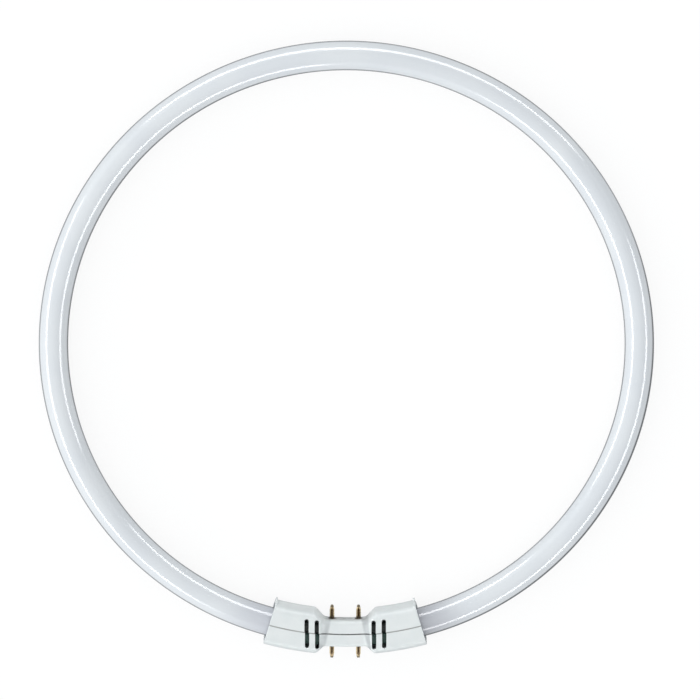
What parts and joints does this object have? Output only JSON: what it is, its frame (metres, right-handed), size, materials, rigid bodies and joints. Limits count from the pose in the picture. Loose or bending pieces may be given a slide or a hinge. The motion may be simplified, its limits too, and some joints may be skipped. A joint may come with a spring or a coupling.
{
  "type": "circular fluorescent tube",
  "caption": "Flat ring of white-coated glass tube, closed by a pale plastic cap with brass pins on both sides of its narrow middle and slender vent slots.",
  "frame": {"origin": "centre of the ring, in the middle plane of the tube", "axes": "+Z square to the ring, out of the face with the vent slots; the cap is at -Y, with pins along +Y and -Y"},
  "size_m": [0.3, 0.3059, 0.0186],
  "materials": {
    "coated_glass": "glossy clear glass over a white powder coat",
    "cap_plastic": "satin moulded, pale grey with a slight green tint",
    "pin_brass": "drawn, slightly tarnished",
    "lead_metal": "bare nickel-plated wire",
    "insulation": "varnished glass-fibre sleeving, dark green",
    "silicone": "matt white silicone"
  },
  "bodies": {
    "root": {"glass_ring": "coated_glass", "cap_inner_shell": "cap_plastic", "cap_outer_shell": "cap_plastic", "contact_pin_inner_left": "pin_brass", "lead_wire_inner_left": "lead_metal", "lead_sleeve_inner_left": "insulation", "contact_pin_inner_right": "pin_brass", "lead_wire_inner_right": "lead_metal", "lead_sleeve_inner_right": "insulation", "contact_pin_outer_left": "pin_brass", "lead_wire_outer_left": "lead_metal", "lead_sleeve_outer_left": "insulation", "contact_pin_outer_right": "pin_brass", "lead_wire_outer_right": "lead_metal", "lead_sleeve_outer_right": "insulation", "tube_cushion_left": "silicone", "tube_cushion_right": "silicone"}
  },
  "joints": []
}
